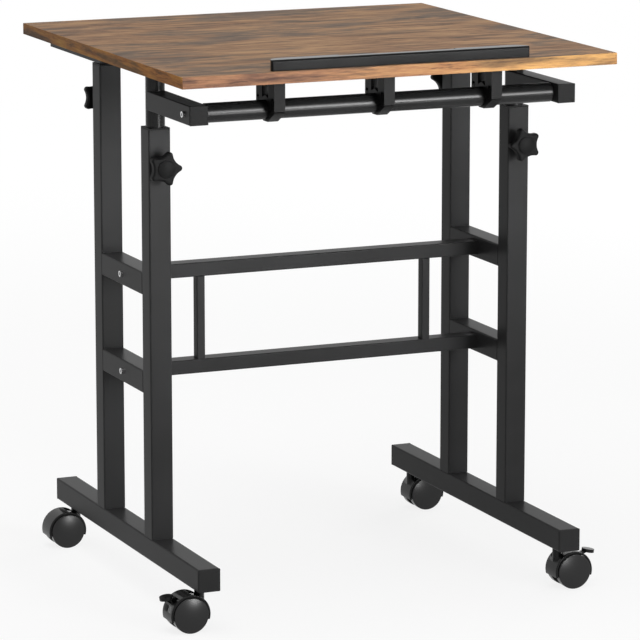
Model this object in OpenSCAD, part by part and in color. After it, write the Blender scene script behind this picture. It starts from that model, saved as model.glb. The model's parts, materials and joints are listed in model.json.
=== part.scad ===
// Mobile sit-stand desk: a tilting wooden top on a telescopic tube frame with four braked casters.
// Millimetres, +Z up, +X to the user's right, -Y towards the user.
// The origin lies on the floor under the middle of the desk.

/* [Desktop] */
// Width of the board
top_w = 600; // [500:10:800]
// Depth of the board
top_d = 600; // [580:10:700]
// Thickness of the board
top_t = 15; // [12:1:25]

/* [Book stop] */
// Length of the stop that keeps books on the tilted board
stop_l = 356; // [200:4:480]
// Depth of the stop, front to back
stop_d = 20; // [14:1:30]
// Slope along the stop's front top edge
stop_chamfer = 2.2; // [0.5:0.1:4]
// Height of the stop
stop_h = 14; // [10:1:25]
// Distance from the board's front edge to the stop
stop_setback = 7; // [2:1:30]
// Length of the pen groove in the stop's rear top edge
groove_l = 160; // [60:5:180]
// Width of the pen groove
groove_w = 6; // [3:0.5:8]
// Depth of the pen groove
groove_h = 5; // [2:0.5:7]

/* [Side frames] */
// Distance between the two side frames, centre to centre
frame_span = 512; // [420:2:540]
// Outer width of the square tube
tube_w = 30; // [29.5:0.5:32]
// Wall of the square tube
tube_wall = 1.5; // [1.2:0.1:1.6]
// Length of a foot
foot_l = 540; // [460:10:600]
// Distance between the front and the rear column, centre to centre
col_gap = 180; // [150:5:220]
// Gap between a front column's top and the arm above it
arm_gap = 22; // [16:1:60]
// Height of a rear column above its foot, with its bush
rear_col_h = 603.5; // [590:0.5:620]
// Height of the upper side bar's middle above the foot
bar_hi_z = 336.5; // [280:0.5:380]
// Height of the lower side bar's middle above the foot
bar_lo_z = 206; // [120:0.5:240]

/* [Cross bars] */
// Depth of a cross bar, front to back
cross_d = 25; // [20:1:30]
// Height of a cross bar
cross_h = 19; // [15:1:26]
// Width of a strut between the cross bars
strut_w = 11.5; // [8:0.5:20]
// Depth of a strut
strut_d = 14; // [8:0.5:20]
// Distance between the struts, centre to centre
strut_gap = 328; // [150:2:400]

/* [Telescopic tubes] */
// Outer diameter of a round inner tube
inner_d = 25; // [24:0.5:25]
// Wall of a round tube
inner_wall = 1.5; // [1:0.1:2]
// Length of the guide bush in a column's mouth
bush_len = 38; // [25:1:60]
// Thickness of the bush's collar on the column
bush_collar = 2.5; // [0.8:0.1:3]
// Clearance from the bush's bore to the inner tube
bush_fit = 0.06; // [0.02:0.01:0.1]
// Gap between the inner tube's glide and the column's wall
glide_gap = 0.2; // [0.1:0.05:0.4]
// Height of the glide's square head
glide_h = 14; // [10:1:20]
// Height of the glide above the foot at rest
glide_lift = 4; // [2:1:30]
// Gap between the front inner tube's cap and the board
tube_top_gap = 10; // [4:1:14]

/* [Arms and cross tube] */
// Outer width of the square arm tube
arm_w = 25; // [22:1:28]
// Reach of an arm ahead of the front column's middle
arm_reach = 154; // [120:1:170]
// Distance from the arm's front end to the cross tube's axis
pivot_back = 21; // [18:1:30]
// Distance from the board's underside down to the cross tube's axis
pivot_drop = 42.5; // [36:0.5:50]
// Outer diameter of the cross tube
cross_tube_d = 25; // [20:1:26]
// Thickness of the washer between the cross tube and an arm
washer_t = 2; // [1:0.5:4]
// Diameter of the bolts' heads
bolt_head_d = 8; // [7.5:0.5:11]
// Height of the bolts' heads
bolt_head_h = 3; // [2:0.5:4]
// Diameter of the bolts' shanks
bolt_d = 6; // [5:0.5:6.5]

/* [Saddles] */
// Width of a saddle, left to right
saddle_w = 15; // [12:1:24]
// Depth of a saddle, front to back
saddle_d = 60; // [56:1:70]
// Opening between a saddle's two legs
saddle_gap = 21; // [14:1:26]
// Distance between neighbouring saddles
saddle_pitch = 151; // [100:1:180]
// Thickness of a saddle's front and rear walls
saddle_wall = 3; // [2:0.5:5]
// Height of the pocket in a saddle's leg
pocket_h = 16.5; // [14:0.5:20]
// Depth of that pocket, front to back
pocket_d = 7; // [6:0.5:8]
// Thickness of a clamp's hook
hook_t = 3.6; // [3:0.1:4]
// Height of a clamp's hook above the cross tube's axis
hook_h = 13; // [11:0.5:13]
// Height of the peaked roof over the cross tube's axis
roof_h = 18.5; // [17:0.5:22]
// Half the width of the clamp's flat underside
clamp_flat = 7; // [4:0.5:10]
// Thickness of the clamp under the cross tube
clamp_wall = 2.6; // [2.2:0.1:6]
// Clearance from a saddle's bore to the cross tube
saddle_fit = 0.08; // [0.02:0.01:0.1]

/* [Slide rails] */
// Length of a rail under the board
rail_l = 195; // [120:5:200]
// Width of a rail
rail_w = 30; // [24:1:34]
// Height of a rail
rail_h = 15; // [14:0.5:18]
// Wall of a rail
rail_wall = 2; // [1.5:0.1:2.2]
// Width of the slot in a rail's underside
rail_slot = 11; // [9:0.5:14]
// Gap between a rear column and the rail above it
rail_gap = 1.5; // [1:0.5:6]
// Diameter of the pin that runs in a rail
rail_pin_d = 5; // [4:0.5:5]
// Gap between that pin and the rail's roof at rest
rail_pin_gap = 2.2; // [2:0.1:2.4]
// Thickness of the tongue that carries the pin
tongue_t = 6; // [4:0.5:8]

/* [Clamp knobs] */
// Diameter of a knob over its lobes
knob_d = 45; // [42:1:52]
// Number of lobes
knob_lobes = 5; // [5:1:8]
// Diameter of a knob across its hollows
knob_waist_d = 32.5; // [30:0.5:33.5]
// Radius of a lobe's tip
lobe_r = 4; // [3.5:0.1:4.5]
// Thickness of the lobed part
knob_t = 12; // [8:1:16]
// Rounding of the lobed part's rim
knob_round = 2.5; // [1:0.5:4]
// Diameter of the domed hub
hub_d = 23.5; // [18:0.5:26]
// Height of the dome over the lobed part
hub_h = 3.5; // [2:0.5:8]
// Diameter of the neck behind the lobes
neck_d = 14; // [12:0.5:20]
// Length of the neck
neck_l = 6.5; // [3:0.5:12]
// Distance from a column's top down to the knob's axis
knob_drop = 50; // [44:0.5:70]
// Thickness of the nut welded to a column
nut_t = 5; // [3:0.5:8]
// Diameter of a knob's threaded stud
stud_d = 8; // [6:1:10]
// Gap between a stud's tip and the inner tube at rest
stud_gap = 0.4; // [0.3:0.1:1]

/* [Casters] */
// Diameter of a wheel
wheel_d = 47; // [44:0.5:48]
// Width of one wheel of a pair
wheel_w = 11; // [10:0.2:14]
// Height of the wheel's domed face
wheel_dome = 2; // [0.5:0.1:3]
// Gap between a wheel and the hood's shell
wheel_gap = 0.8; // [0.6:0.1:1.2]
// Thickness of the hood's core between the wheels
core_w = 14; // [13.5:0.5:18]
// Gap between a wheel and the hood's core
wheel_side_gap = 0.6; // [0.4:0.1:1]
// Width of the hood
hood_w = 33; // [28:0.5:36]
// Thickness of the hood's shell
hood_t = 2.7; // [2.4:0.1:3]
// Rounding of the hood's rims
hood_round = 1; // [0.6:0.1:2]
// Depth of the hood below the axle
skirt_drop = 7; // [4:0.5:10]
// Distance from the wheels' axle to the swivel's axis
trail = 17.5; // [15:0.5:20]
// Distance from the foot's end to the swivel's axis
caster_inset = 36.5; // [30:0.5:60]
// Clear height from the floor to the foot
foot_clear = 57.5; // [56.5:0.5:64]
// Diameter of a stem
stem_d = 8; // [6:0.5:8]
// Diameter of an axle
axle_d = 6; // [4:0.5:8]
// Running clearance of the axles, stems and lever pins
pin_fit = 0.06; // [0.02:0.01:0.1]
// Thickness of a brake lever's blade
blade_t = 5; // [3:0.5:5.5]
// Diameter of a brake lever's pedal
pedal_d = 17; // [15:0.5:18]
// Thickness of the pedal
pedal_t = 4.5; // [3:0.1:5]
// Distance from the wheels' axle to the pedal's outer edge
pedal_reach = 37; // [36.5:0.5:40]
// Slope of the pedal, down from its inner end
pedal_slope = 10; // [6:1:12]

/* [Hidden] */
$fn = 64;

// Small cut that keeps a hole open past the face that it leaves through
cut = 1;
// Overlap that joins two shapes of one solid
bite = 0.2;

// Places that follow from the sizes above
frame_x = frame_span / 2;
col_y = col_gap / 2;
foot_top = foot_clear + tube_w;
rear_col_top = foot_top + rear_col_h;
board_z = rear_col_top + rail_gap + rail_h;
pivot_y = -col_y - arm_reach + pivot_back;
pivot_z = board_z - pivot_drop;
front_col_top = pivot_z - arm_w / 2 - arm_gap;
front_col_h = front_col_top - foot_top;
tube_in = tube_w - 2 * tube_wall;
side_bar_l = col_gap - tube_w;
inside_span = frame_span - tube_w;
arm_inside = frame_span - arm_w;
inner_r = inner_d / 2;
inner_bore_r = inner_r - inner_wall;
cross_tube_r = cross_tube_d / 2;

// The glides stand on the foot, and the tubes on the glides
glide_z = foot_top + glide_lift;
tube_z = glide_z + glide_h;
spigot_h = 16;
spigot_fit = 0.05;
cap_h = 2;
front_tube_top = board_z - tube_top_gap - cap_h;
rear_tube_sunk = 3;
rear_tube_top = rear_col_top - rear_tube_sunk;

// Materials as the finished object shows them
frame_black = [0.16, 0.16, 0.17];
gloss_black = [0.07, 0.07, 0.08];
plastic_black = [0.11, 0.11, 0.12];
rustic_brown = [0.55, 0.43, 0.33];
zinc = [0.78, 0.79, 0.8];

// A box from its centre in X and Y and its lowest Z
module block(size, at) {
    translate([at[0] - size[0] / 2, at[1] - size[1] / 2, at[2]]) cube(size);
}

// A square or rectangular tube, hollow along one axis: 0 for X, 1 for Y, 2 for Z
module box_tube(size, wall, along) {
    hollow = [for (i = [0:2]) i == along ? size[i] + 2 * cut : size[i] - 2 * wall];
    difference() {
        cube(size, center = true);
        cube(hollow, center = true);
    }
}

// A cylinder along X through the given point, centred on it
module x_bar(r, l, at) {
    translate(at) rotate([0, 90, 0]) cylinder(r = r, h = l, center = true);
}

// A cylinder that starts at a point and runs along Y, forwards for dir -1 and backwards for dir 1
module y_bar(r, l, at, dir) {
    translate(at) rotate([-90 * dir, 0, 0]) cylinder(r = r, h = l);
}

// Children once on each side, mirrored in X
module both_sides() {
    for (m = [0, 1]) mirror([m, 0, 0]) children();
}

// The board

module desktop_board() {
    color(rustic_brown) block([top_w, top_d, top_t], [0, 0, board_z]);
}

module book_stop() {
    stop_y = -top_d / 2 + stop_setback;
    stop_z = board_z + top_t;
    front_r = 2;
    rear_r = stop_d - front_r;
    color(plastic_black) difference() {
        intersection() {
            translate([-stop_l / 2, stop_y, stop_z]) rotate([90, 0, 90]) linear_extrude(stop_l)
                polygon([
                    [0, 0], [stop_d, 0], [stop_d, stop_h], [stop_chamfer, stop_h],
                    [0, stop_h - stop_chamfer]
                ]);
            // Plan with rounded corners
            translate([0, stop_y, stop_z]) linear_extrude(stop_h) for (m = [0, 1]) mirror([m, 0]) {
                square([stop_l / 2 - rear_r, stop_d]);
                translate([0, front_r]) square([stop_l / 2, bite]);
                square([stop_l / 2 - front_r, front_r + bite]);
                translate([stop_l / 2 - front_r, front_r]) circle(r = front_r);
                intersection() {
                    translate([stop_l / 2 - rear_r, front_r]) circle(r = rear_r);
                    translate([stop_l / 2 - rear_r - bite, front_r]) square([stop_d, stop_d]);
                }
            }
        }
        translate([-groove_l / 2, stop_y + stop_d - groove_w, stop_z + stop_h - groove_h])
            cube([groove_l, groove_w + cut, groove_h + cut]);
    }
}

// The saddles: two legs under the board, joined over the cross tube, with a clamp half hooked on below
saddle_bore_r = cross_tube_r + saddle_fit;
saddle_leg = (saddle_d - saddle_gap) / 2;
clamp_split = 0.8;
clamp_drop = saddle_bore_r + clamp_wall;
shoulder_h = roof_h - 4;
head_gap = 0.5;

// A saddle's section: x runs back from the cross tube's axis, y runs up from it
module saddle_outline() {
    half = saddle_d / 2;
    gap = saddle_gap / 2;
    difference() {
        translate([-half, 0]) square([saddle_d, pivot_drop]);
        // Window between the legs, over the peaked roof
        polygon([
            [-gap, pivot_drop + cut], [-gap, shoulder_h], [0, roof_h], [gap, shoulder_h],
            [gap, pivot_drop + cut]
        ]);
        circle(r = saddle_bore_r);
        for (s = [0, 1]) mirror([s, 0]) difference() {
            translate([half - saddle_wall - pocket_d, -cut]) square([pocket_d, pocket_h + cut]);
            // Ledge that a hook catches on
            translate([half - saddle_wall - ledge_d, hook_h - barb_h - ledge_h - snap_gap])
                square([ledge_d + cut, ledge_h]);
        }
    }
}
ledge_d = 2;
ledge_h = 2;
barb_h = 2.5;
snap_gap = 0.2;

module saddle(x) {
    leg_middle = (saddle_gap + saddle_leg) / 2;
    color(plastic_black) difference() {
        translate([x - saddle_w / 2, pivot_y, pivot_z])
            rotate([90, 0, 90]) linear_extrude(saddle_w) saddle_outline();
        for (s = [-1, 1]) translate([x, pivot_y + s * leg_middle, pivot_z]) {
            cylinder(r = board_screw_d / 2, h = pivot_drop + cut);
            cylinder(r = screw_head_d / 2 + head_gap, h = pivot_drop - screw_grip);
        }
    }
}

module left_saddle() { saddle(-saddle_pitch); }
module middle_saddle() { saddle(0); }
module right_saddle() { saddle(saddle_pitch); }

module clamp_outline() {
    half = saddle_d / 2;
    hook_x = half - saddle_wall - ledge_d - snap_gap;
    difference() {
        polygon([
            [-half, -clamp_split], [half, -clamp_split], [half - saddle_wall / 2, -saddle_wall],
            [clamp_flat, -clamp_drop], [-clamp_flat, -clamp_drop], [-half + saddle_wall / 2, -saddle_wall]
        ]);
        circle(r = saddle_bore_r);
    }
    // Hooks that reach up into the saddle's pockets
    for (s = [0, 1]) mirror([s, 0]) {
        translate([hook_x - hook_t, -clamp_split - bite]) square([hook_t, hook_h + clamp_split + bite]);
        translate([hook_x - bite, hook_h - barb_h]) square([ledge_d + bite, barb_h]);
    }
}

module saddle_clamps() {
    color(plastic_black) for (i = [-1:1]) translate([i * saddle_pitch - saddle_w / 2, pivot_y, pivot_z])
        rotate([90, 0, 90]) linear_extrude(saddle_w) clamp_outline();
}

// The slide rails: channels with a slotted underside, screwed under the board's rear half
rail_y = col_y - tube_w / 2;
rail_in_w = rail_w - 2 * rail_wall;

module slide_rail(side) {
    color(frame_black) translate([side * frame_x, rail_y, board_z - rail_h]) difference() {
        translate([-rail_w / 2, 0, 0]) cube([rail_w, rail_l, rail_h]);
        translate([-rail_in_w / 2, -cut, rail_wall])
            cube([rail_in_w, rail_l + 2 * cut, rail_h - 2 * rail_wall]);
        translate([-rail_slot / 2, -cut, -cut]) cube([rail_slot, rail_l + 2 * cut, rail_wall + 2 * cut]);
        for (y = rail_screw_ys) translate([0, y, rail_h - rail_wall - cut])
            cylinder(r = board_screw_d / 2, h = rail_wall + 2 * cut);
    }
}
rail_screw_ys = [rail_l * 0.4, rail_l * 0.9];

module left_slide_rail() { slide_rail(-1); }
module right_slide_rail() { slide_rail(1); }

// Wood screws into the board's underside, through the saddles and the rails
board_screw_d = 4;
screw_grip = 10;
screw_head_h = 1.2;
screw_head_d = 8;

module board_screw(at, below) {
    translate([at[0], at[1], at[2] - below]) {
        translate([0, 0, -screw_head_h]) cylinder(r = screw_head_d / 2, h = screw_head_h);
        cylinder(r = board_screw_d / 2 - pin_fit, h = below);
    }
}

module board_screws() {
    leg_middle = (saddle_gap + saddle_leg) / 2;
    color(zinc) {
        for (i = [-1:1], s = [-1, 1])
            board_screw([i * saddle_pitch, pivot_y + s * leg_middle, board_z], screw_grip);
        for (s = [-1, 1], y = rail_screw_ys)
            board_screw([s * frame_x, rail_y + y, board_z], rail_wall);
    }
}

// The front telescopic tubes, with the arms and the cross tube they carry

module round_tube(at_y, bottom, top) {
    translate([0, at_y, bottom]) difference() {
        cylinder(r = inner_r, h = top - bottom);
        translate([0, 0, -cut]) cylinder(r = inner_bore_r, h = top - bottom + 2 * cut);
    }
}

module front_tube() {
    translate([frame_x, 0, 0]) round_tube(-col_y, tube_z, front_tube_top);
}

module right_front_tube() { color(gloss_black) front_tube(); }
module left_front_tube() { color(gloss_black) mirror([1, 0, 0]) front_tube(); }

// A square foot under the round tube, with a spigot up its bore
module tube_glide(at_y) {
    head_w = tube_in - 2 * glide_gap;
    translate([frame_x, at_y, glide_z]) {
        translate([-head_w / 2, -head_w / 2, 0]) cube([head_w, head_w, glide_h]);
        cylinder(r = inner_bore_r - spigot_fit, h = glide_h + spigot_h);
    }
}

module front_tube_glides() { color(plastic_black) both_sides() tube_glide(-col_y); }
module rear_tube_glides() { color(plastic_black) both_sides() tube_glide(col_y); }

module front_tube_caps() {
    color(plastic_black) both_sides() translate([frame_x, -col_y, front_tube_top]) {
        cylinder(r = inner_r, h = cap_h);
        translate([0, 0, -spigot_h]) cylinder(r = inner_bore_r - spigot_fit, h = spigot_h + bite);
    }
}

// An arm is coped round the front of the tube and welded to it
arm_front_y = -col_y - arm_reach;
arm_wall = 1.5;
arm_cap_t = 2;
arm_cap_plug = 8;
weld_gap = 0.03;

module arm() {
    color(frame_black) difference() {
        translate([frame_x, arm_front_y + (arm_reach + arm_cap_t) / 2, pivot_z])
            box_tube([arm_w, arm_reach - arm_cap_t, arm_w], arm_wall, 1);
        translate([frame_x, -col_y, pivot_z - arm_w]) cylinder(r = inner_r + weld_gap, h = 2 * arm_w);
        x_bar(bolt_d / 2 + pin_fit, 2 * arm_w, [frame_x, pivot_y, pivot_z]);
    }
}

module right_arm() { arm(); }
module left_arm() { mirror([1, 0, 0]) arm(); }

module arm_end_caps() {
    plug_w = arm_w - 2 * arm_wall - 2 * spigot_fit;
    color(plastic_black) both_sides() translate([frame_x, arm_front_y, pivot_z]) {
        translate([-arm_w / 2, 0, -arm_w / 2]) cube([arm_w, arm_cap_t, arm_w]);
        translate([-plug_w / 2, 0, -plug_w / 2]) cube([plug_w, arm_cap_t + arm_cap_plug, plug_w]);
    }
}

// The cross tube has a threaded insert in each end for the bolt through the arm
cross_tube_l = arm_inside - 2 * washer_t;
insert_l = 22;
insert_grip = 17.6;
washer_r = 10;

module front_cross_tube() {
    color(gloss_black) difference() {
        x_bar(cross_tube_r, cross_tube_l, [0, pivot_y, pivot_z]);
        x_bar(cross_tube_r - inner_wall, cross_tube_l - 2 * insert_l, [0, pivot_y, pivot_z]);
        x_bar(bolt_d / 2 + pin_fit, cross_tube_l + 2 * cut, [0, pivot_y, pivot_z]);
    }
}

module cross_tube_washers() {
    at = [(arm_inside - washer_t) / 2, pivot_y, pivot_z];
    color(plastic_black) both_sides() difference() {
        x_bar(washer_r, washer_t, at);
        x_bar(bolt_d / 2 + pin_fit, washer_t + 2 * cut, at);
    }
}

// A cap screw: its head outside at x, its shank running inwards
module cap_screw(x, y, z, shank) {
    translate([x, y, z]) difference() {
        union() {
            rotate([0, 90, 0]) cylinder(r = bolt_head_d / 2, h = bolt_head_h);
            rotate([0, -90, 0]) cylinder(r = bolt_d / 2, h = shank);
        }
        translate([bolt_head_h - key_deep, 0, 0]) rotate([0, 90, 0])
            cylinder(r = key_r, h = key_deep + cut, $fn = 6);
    }
}
key_deep = 2;
key_r = bolt_d / 2 - 0.5;

module cross_tube_bolts() {
    outer = frame_x + arm_w / 2;
    color(zinc) both_sides() cap_screw(outer, pivot_y, pivot_z, arm_w + washer_t + insert_grip);
}

// The rear telescopic tubes, whose pins carry the board in the rails

module rear_tube() {
    translate([frame_x, 0, 0]) round_tube(col_y, tube_z, rear_tube_top);
}

module right_rear_tube() { color(gloss_black) rear_tube(); }
module left_rear_tube() { color(gloss_black) mirror([1, 0, 0]) rear_tube(); }

rail_pin_z = board_z - rail_wall - rail_pin_gap - rail_pin_d / 2;
rail_pin_side_gap = 1;
rail_pin_l = rail_in_w - 2 * rail_pin_side_gap;
tongue_w = 14;
tongue_over = 0.8;
tongue_top = rail_pin_z + rail_pin_d / 2 + tongue_over;

// A plug in the tube's bore, with a round-headed tongue up into the rail
module rear_tube_heads() {
    color(frame_black) both_sides() difference() {
        translate([frame_x, col_y, rear_tube_top]) {
            translate([0, 0, -spigot_h]) cylinder(r = inner_bore_r - spigot_fit, h = spigot_h + bite);
            intersection() {
                block([tongue_t, tongue_w, tongue_top - rear_tube_top], [0, 0, 0]);
                union() {
                    x_bar(tongue_w / 2, tongue_t, [0, 0, tongue_top - rear_tube_top - tongue_w / 2]);
                    block([tongue_t, tongue_w, tongue_top - rear_tube_top - tongue_w / 2], [0, 0, 0]);
                }
            }
        }
        x_bar(rail_pin_d / 2 + mould_gap, tongue_t + 2 * cut, [frame_x, col_y, rail_pin_z]);
    }
}

module rear_rail_pins() {
    color(zinc) both_sides() x_bar(rail_pin_d / 2, rail_pin_l, [frame_x, col_y, rail_pin_z]);
}

// The base: feet, columns, side bars and cross bars
foot_cap_t = 3;
foot_cap_plug = 10;

module foot() {
    color(frame_black) translate([frame_x, 0, foot_clear + tube_w / 2]) difference() {
        box_tube([tube_w, foot_l - 2 * foot_cap_t, tube_w], tube_wall, 1);
        for (s = [-1, 1]) translate([0, s * (foot_l / 2 - caster_inset), -tube_w / 2 - cut])
            cylinder(r = socket_r, h = tube_wall + 2 * cut);
    }
}

module right_foot() { foot(); }
module left_foot() { mirror([1, 0, 0]) foot(); }

module foot_end_caps() {
    plug_w = tube_in - 2 * spigot_fit;
    color(plastic_black) both_sides() for (s = [-1, 1])
        translate([frame_x, s * (foot_l / 2 - foot_cap_t / 2), foot_clear + tube_w / 2]) {
            cube([tube_w, foot_cap_t, tube_w], center = true);
            translate([0, -s * foot_cap_plug / 2, 0])
                cube([plug_w, foot_cap_plug + foot_cap_t - bite, plug_w], center = true);
        }
}

// A column has a bolt-size hole for the knob's stud, on the side that faces out of the desk
module column(height, at_y) {
    tube_h = height - bush_collar;
    out = sign(at_y);
    stud_z = foot_top + height - knob_drop;
    color(frame_black) translate([frame_x, at_y, 0]) difference() {
        translate([0, 0, foot_top + tube_h / 2]) box_tube([tube_w, tube_w, tube_h], tube_wall, 2);
        y_bar(stud_d / 2 + pin_fit, tube_w / 2 + cut, [0, 0, stud_z], out);
    }
}

module front_right_column() { column(front_col_h, -col_y); }
module front_left_column() { mirror([1, 0, 0]) column(front_col_h, -col_y); }
module rear_right_column() { column(rear_col_h, col_y); }
module rear_left_column() { mirror([1, 0, 0]) column(rear_col_h, col_y); }

// A plastic bush: square outside to fill the column, round inside to guide the tube
module column_bush(at_y, top) {
    skirt_w = tube_in - 2 * spigot_fit;
    collar_w = tube_w - 1;
    difference() {
        union() {
            block([collar_w, collar_w, bush_collar], [frame_x, at_y, top - bush_collar]);
            block([skirt_w, skirt_w, bush_len], [frame_x, at_y, top - bush_len]);
        }
        translate([frame_x, at_y, top - bush_len - cut])
            cylinder(r = inner_r + bush_fit, h = bush_len + 2 * cut);
    }
}

module column_bushes() {
    color(plastic_black) both_sides() {
        column_bush(-col_y, front_col_top);
        column_bush(col_y, rear_col_top);
    }
}

// The nuts stand on the columns' outer faces
nut_across = 13;

module clamp_nut(at_y, top) {
    out = sign(at_y);
    face_y = at_y + out * tube_w / 2;
    difference() {
        translate([frame_x, face_y, top - knob_drop]) rotate([-90 * out, 0, 0])
            cylinder(d = nut_across / cos(30), h = nut_t, $fn = 6);
        y_bar(stud_d / 2 + pin_fit, nut_t + 2 * cut, [frame_x, face_y - out * cut, top - knob_drop], out);
    }
}

module clamp_nuts() {
    color(frame_black) both_sides() {
        clamp_nut(-col_y, front_col_top);
        clamp_nut(col_y, rear_col_top);
    }
}

module side_bars() {
    color(frame_black) for (z = [bar_lo_z, bar_hi_z]) difference() {
        translate([frame_x, 0, foot_top + z]) box_tube([tube_w, side_bar_l, tube_w], tube_wall, 1);
        x_bar(bolt_d / 2 + pin_fit, tube_w + 2 * cut, [frame_x, 0, foot_top + z]);
    }
}

module right_side_bars() { side_bars(); }
module left_side_bars() { mirror([1, 0, 0]) side_bars(); }

// A cross bar is hollow, with a solid nut block in each end
nut_block_l = 20;
nut_block_grip = 16;

module cross_bar(z) {
    color(frame_black) difference() {
        translate([0, 0, foot_top + z]) cube([inside_span, cross_d, cross_h], center = true);
        translate([0, 0, foot_top + z]) cube([inside_span - 2 * nut_block_l, cross_d - 2 * tube_wall,
            cross_h - 2 * tube_wall], center = true);
        both_sides() x_bar(bolt_d / 2 + pin_fit, 2 * nut_block_l, [inside_span / 2, 0, foot_top + z]);
    }
}

module upper_cross_bar() { cross_bar(bar_hi_z); }
module lower_cross_bar() { cross_bar(bar_lo_z); }

// The struts are flush with the cross bars' front faces
strut_wall = 1.2;

module strut(side) {
    strut_h = bar_hi_z - bar_lo_z - cross_h;
    middle_z = foot_top + (bar_hi_z + bar_lo_z) / 2;
    color(frame_black) translate([side * strut_gap / 2, (strut_d - cross_d) / 2, middle_z])
        box_tube([strut_w, strut_d, strut_h], strut_wall, 2);
}

module left_strut() { strut(-1); }
module right_strut() { strut(1); }

module cross_bar_bolts() {
    outer = frame_x + tube_w / 2;
    color(zinc) both_sides() for (z = [bar_lo_z, bar_hi_z])
        cap_screw(outer, 0, foot_top + z, tube_w + nut_block_grip);
}

// The clamp knobs: a lobed grip with a neck and a domed hub, moulded round a threaded stud
lobe_at = knob_d / 2 - lobe_r;
waist_r = knob_waist_d / 2;
lobe_step = 360 / knob_lobes;
lobe_side = lobe_at * cos(lobe_step / 2);
// Each hollow is an arc tangent to the two lobes beside it
hollow_r = (lobe_at * lobe_at + waist_r * waist_r - lobe_r * lobe_r - 2 * waist_r * lobe_side)
    / (2 * (lobe_r + lobe_side - waist_r));
hollow_at = waist_r + hollow_r;
// Angle from a lobe's middle to the point where its arc meets the hollow's
lobe_turn = atan2(hollow_at * sin(lobe_step / 2), hollow_at * cos(lobe_step / 2) - lobe_at);
arc_steps = 9;
dome_r = (hub_h * hub_h + hub_d * hub_d / 4) / (2 * hub_h);
knob_back_gap = 0.5;
mould_gap = 0.02;
stud_bore_l = neck_l + knob_t / 2;
stud_reach = knob_back_gap + nut_t + tube_w / 2 - inner_r - stud_gap;

// The point at an angle on a circle whose middle lies at a distance and an angle from the axis
function arc_point(at, turn, r, angle) = at * [cos(turn), sin(turn)] + r * [cos(angle), sin(angle)];

module knob_outline() {
    polygon([for (i = [0:knob_lobes - 1], half = [0, 1], j = [0:arc_steps - 1])
        let (turn = i * lobe_step, share = j / arc_steps)
            half == 0
                ? arc_point(lobe_at, turn, lobe_r, turn + lobe_turn * (2 * share - 1))
                : arc_point(hollow_at, turn + lobe_step / 2, hollow_r,
                    turn + 180 + lobe_turn + (lobe_step - 2 * lobe_turn) * share)
    ]);
}

// Section of a disc standing on the axis, with each rim broken by two slopes
module rounded_disc_section(r, t, round) {
    near = round * (1 - cos(45));
    polygon([
        [0, 0], [r - round, 0], [r - near, near], [r, round], [r, t - round], [r - near, t - near],
        [r - round, t], [0, t]
    ]);
}

// Drawn with its neck's back on the XY plane and its face along +Z
module knob_shape() {
    front = neck_l + knob_t;
    cylinder(r = neck_d / 2, h = neck_l + bite);
    intersection() {
        translate([0, 0, neck_l]) linear_extrude(knob_t) knob_outline();
        translate([0, 0, neck_l]) rotate_extrude() rounded_disc_section(knob_d / 2, knob_t, knob_round);
    }
    intersection() {
        translate([0, 0, front + hub_h - dome_r]) sphere(r = dome_r, $fn = 96);
        translate([0, 0, front - bite]) cylinder(r = hub_d / 2, h = hub_h + bite + cut);
    }
}

module clamp_knob(at_y, top) {
    out = sign(at_y);
    back_y = at_y + out * (tube_w / 2 + nut_t + knob_back_gap);
    translate([frame_x, back_y, top - knob_drop]) rotate([-90 * out, 0, 0]) {
        color(plastic_black) difference() {
            rotate(180) knob_shape();
            translate([0, 0, -cut]) cylinder(r = stud_d / 2 + mould_gap, h = stud_bore_l + cut);
        }
        color(zinc) translate([0, 0, -stud_reach])
            cylinder(r = stud_d / 2, h = stud_reach + stud_bore_l - mould_gap);
    }
}

module front_right_knob() { clamp_knob(-col_y, front_col_top); }
module front_left_knob() { mirror([1, 0, 0]) clamp_knob(-col_y, front_col_top); }
module rear_right_knob() { clamp_knob(col_y, rear_col_top); }
module rear_left_knob() { mirror([1, 0, 0]) clamp_knob(col_y, rear_col_top); }

// The casters: twin wheels on an axle under a barrel-shaped hood that swivels on a stem
wheel_r = wheel_d / 2;
axle_z = wheel_r;
wheel_in_y = core_w / 2 + wheel_side_gap;
wheel_edge = 1.2;
hood_r = wheel_r + wheel_gap + hood_t;
socket_r = 8;
socket_flange_t = 0.8;
socket_l = 24;
stem_collar_t = 1.5;
stem_reach = 22;
swivel_gap = 0.3;
boss_top = foot_clear - socket_flange_t - stem_collar_t - swivel_gap;
boss_wall = 2.5;
boss_r = stem_d / 2 + boss_wall;
stem_collar_r = boss_r - 0.2;
stem_depth = 22;
// Recess between the wheels that the boss stands in
recess_floor = 19.5;
recess_half_w = 5.8;
recess_end = -1.5;

// Radius of an arc that drops by the given height over the given half width
function arc_r(half_w, drop) = (half_w * half_w + drop * drop) / (2 * drop);

// Places of the four casters: side -1 or 1, end -1 or 1
module at_caster(side, end) {
    translate([side * frame_x, end * (foot_l / 2 - caster_inset), 0])
        mirror([side < 0 ? 1 : 0, 0, 0]) children();
}

module each_caster() {
    for (side = [-1, 1], end = [-1, 1]) at_caster(side, end) children();
}

module caster_sockets() {
    color(plastic_black) each_caster() translate([0, 0, foot_clear]) difference() {
        union() {
            translate([0, 0, -socket_flange_t]) cylinder(r = socket_r + 1, h = socket_flange_t);
            translate([0, 0, -bite]) cylinder(r = socket_r - spigot_fit, h = socket_l + bite);
        }
        translate([0, 0, -socket_flange_t - cut])
            cylinder(r = stem_d / 2 + mould_gap, h = socket_l + socket_flange_t + 2 * cut);
    }
}

module caster_stems() {
    color(frame_black) each_caster() {
        translate([0, 0, boss_top - stem_depth])
            cylinder(r = stem_d / 2, h = stem_depth + foot_clear + stem_reach - boss_top);
        translate([0, 0, boss_top + swivel_gap]) cylinder(r = stem_collar_r, h = stem_collar_t);
    }
}

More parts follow.
